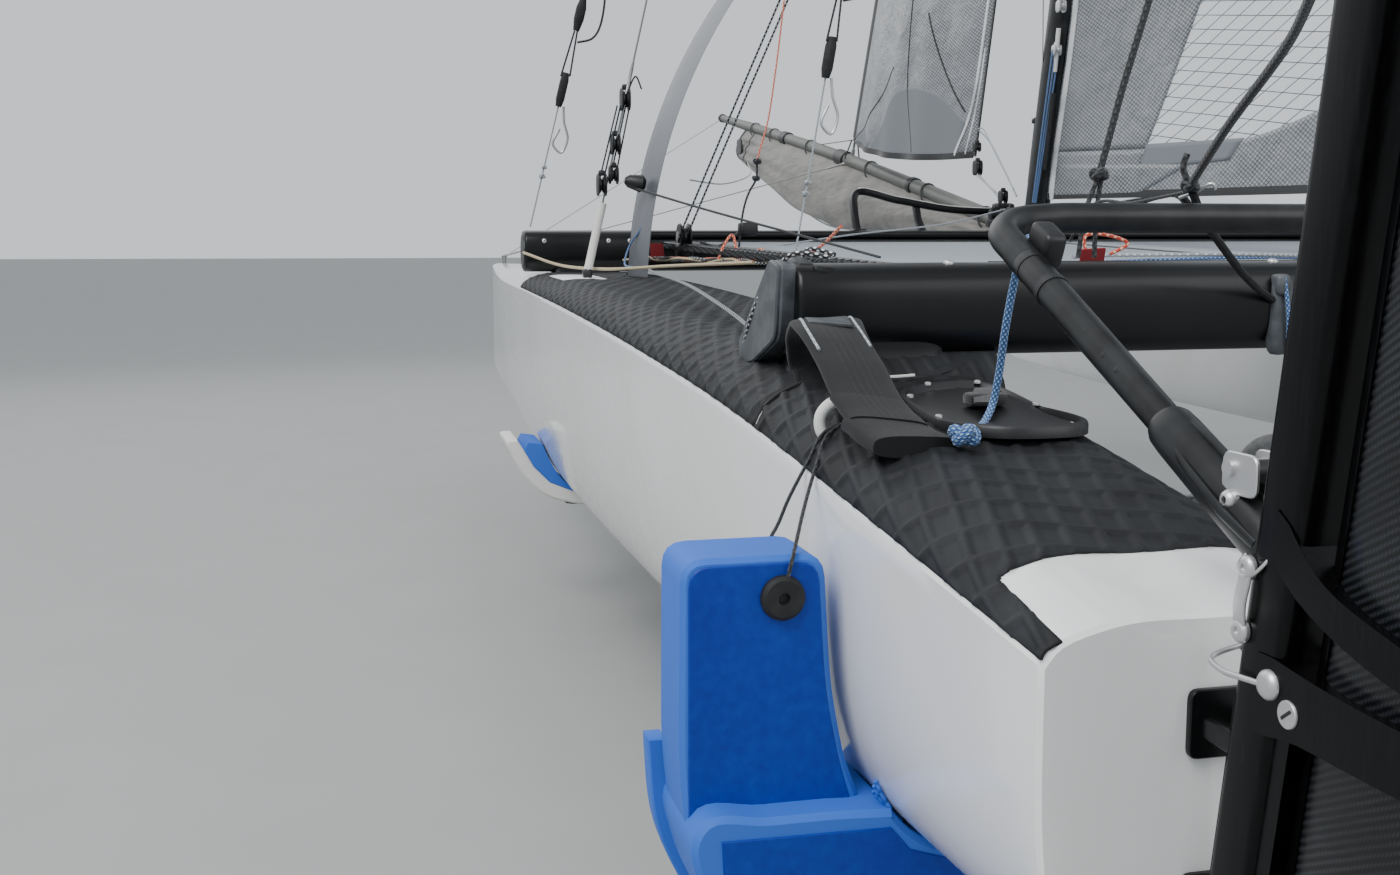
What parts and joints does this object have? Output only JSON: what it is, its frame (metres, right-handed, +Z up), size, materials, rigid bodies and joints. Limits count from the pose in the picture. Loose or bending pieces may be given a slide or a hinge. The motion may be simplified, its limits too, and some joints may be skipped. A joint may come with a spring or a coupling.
{
  "type": "sailing catamaran",
  "caption": "Rigged beach sailing catamaran on two beach dollies, with lifting rudders, curved sliding boards, turning mast, swinging mainsail and free wheels.",
  "frame": {"origin": "bottom centre of the box, on the ground under the boat", "axes": "+X forward to the bows, +Y to port, +Z up along the height of the rig"},
  "size_m": [7.461, 3.396, 9.8652],
  "materials": {
    "gelcoat": "glossy white gelcoat over laminate, black foam deck pads",
    "black_aluminium": "black anodised, satin",
    "trampoline_mesh": "light grey woven trampoline cloth with black edging",
    "stainless": "polished stainless steel",
    "carbon": "black carbon laminate, satin lacquer",
    "woven_carbon": "twill carbon under clear lacquer with a glossy black leading edge",
    "grey_board": "grey painted carbon board with a dark edge",
    "sail_laminate": "silver grey laminate sailcloth with clear panels",
    "wire": "stranded stainless wire",
    "pole_grey": "light grey lacquered tube with dark collars",
    "grey_cloth": "grey sock cloth",
    "galvanised_tube": "plain metal tube",
    "blue_plastic": "moulded bright blue polyethylene",
    "white_plastic": "moulded white polyethylene with a blue lining",
    "balloon_tyre": "soft grey balloon tyre",
    "hub_plastic": "moulded plastic hub"
  },
  "bodies": {
    "root": {"port_hull": "gelcoat", "starboard_hull": "gelcoat", "front_beam": "black_aluminium", "rear_beam": "black_aluminium", "trampoline": "trampoline_mesh", "port_transom_fitting": "stainless", "starboard_transom_fitting": "stainless", "mast_step": "black_aluminium", "jib": "sail_laminate", "forestay": "wire", "port_shroud": "wire", "starboard_shroud": "wire", "port_bridle": "wire", "starboard_bridle": "wire", "spinnaker_pole": "pole_grey", "spinnaker_sock": "grey_cloth", "jib_track": "black_aluminium", "rear_dolly_axle": "galvanised_tube", "front_dolly_axle": "galvanised_tube", "port_rear_cradle": "blue_plastic", "starboard_rear_cradle": "blue_plastic", "port_front_cradle": "white_plastic", "starboard_front_cradle": "white_plastic"},
    "port_rudder": {"port_rudder_stock": "carbon"},
    "starboard_rudder": {"starboard_rudder_stock": "carbon"},
    "port_blade": {"port_rudder_blade": "woven_carbon"},
    "starboard_blade": {"starboard_rudder_blade": "woven_carbon"},
    "crossbar": {"tiller_crossbar": "black_aluminium"},
    "port_board": {"port_daggerboard": "grey_board"},
    "starboard_board": {"starboard_daggerboard": "grey_board"},
    "mast": {"mast": "carbon"},
    "mainsail": {"mainsail": "sail_laminate"},
    "port_rear_wheel": {"port_rear_tyre": "balloon_tyre", "port_rear_hub": "hub_plastic"},
    "starboard_rear_wheel": {"starboard_rear_tyre": "balloon_tyre", "starboard_rear_hub": "hub_plastic"},
    "port_front_wheel": {"port_front_tyre": "balloon_tyre", "port_front_hub": "hub_plastic"},
    "starboard_front_wheel": {"starboard_front_tyre": "balloon_tyre", "starboard_front_hub": "hub_plastic"}
  },
  "joints": [
    {"name": "port_steering", "type": "hinge", "parent": "root", "child": "port_rudder", "pos_m": [-3.36498, 1.38, 0.62], "axis": [-0.1392, 0, 0.9903], "range_deg": [-35, 35]},
    {"name": "starboard_steering", "type": "hinge", "parent": "root", "child": "starboard_rudder", "pos_m": [-3.36498, -1.38, 0.62], "axis": [-0.1392, 0, 0.9903], "range_deg": [-35, 35]},
    {"name": "crossbar_pivot", "type": "hinge", "parent": "port_rudder", "child": "crossbar", "pos_m": [-2.98498, 1.38, 0.997], "axis": [-0.1392, 0, 0.9903], "range_deg": [-35, 35]},
    {"name": "port_blade_lift", "type": "slide", "parent": "port_rudder", "child": "port_blade", "axis": [-0.1392, 0, 0.9903], "range_m": [-0.62, 0]},
    {"name": "starboard_blade_lift", "type": "slide", "parent": "starboard_rudder", "child": "starboard_blade", "axis": [-0.1392, 0, 0.9903], "range_m": [-0.62, 0]},
    {"name": "port_board_slide", "type": "hinge", "parent": "root", "child": "port_board", "pos_m": [-0.68998, 0.033, 0.892], "axis": [1, 0, 0], "range_deg": [-33, 0]},
    {"name": "starboard_board_slide", "type": "hinge", "parent": "root", "child": "starboard_board", "pos_m": [-0.68998, -0.033, 0.892], "axis": [-1, 0, 0], "range_deg": [-33, 0]},
    {"name": "mast_rotation", "type": "hinge", "parent": "root", "child": "mast", "pos_m": [-0.21399, 0, 1.1], "axis": [-0.2079, 0, 0.9781], "range_deg": [-45, 45]},
    {"name": "sail_swing", "type": "hinge", "parent": "mast", "child": "mainsail", "pos_m": [-0.26563, 0, 1.08902], "axis": [0.2079, 0, -0.9781], "range_deg": [-30, 30]},
    {"name": "port_rear_wheel_spin", "type": "hinge", "parent": "root", "child": "port_rear_wheel", "pos_m": [-2.85998, 0.9, 0.21], "axis": [0, 1, 0], "continuous": true},
    {"name": "starboard_rear_wheel_spin", "type": "hinge", "parent": "root", "child": "starboard_rear_wheel", "pos_m": [-2.85998, -0.9, 0.21], "axis": [0, 1, 0], "continuous": true},
    {"name": "port_front_wheel_spin", "type": "hinge", "parent": "root", "child": "port_front_wheel", "pos_m": [-0.22998, 0.9, 0.21], "axis": [0, 1, 0], "continuous": true},
    {"name": "starboard_front_wheel_spin", "type": "hinge", "parent": "root", "child": "starboard_front_wheel", "pos_m": [-0.22998, -0.9, 0.21], "axis": [0, 1, 0], "continuous": true}
  ],
  "couplings": [
    {"joint": "starboard_steering", "follows": "port_steering", "ratio": 1},
    {"joint": "crossbar_pivot", "follows": "port_steering", "ratio": -1}
  ]
}
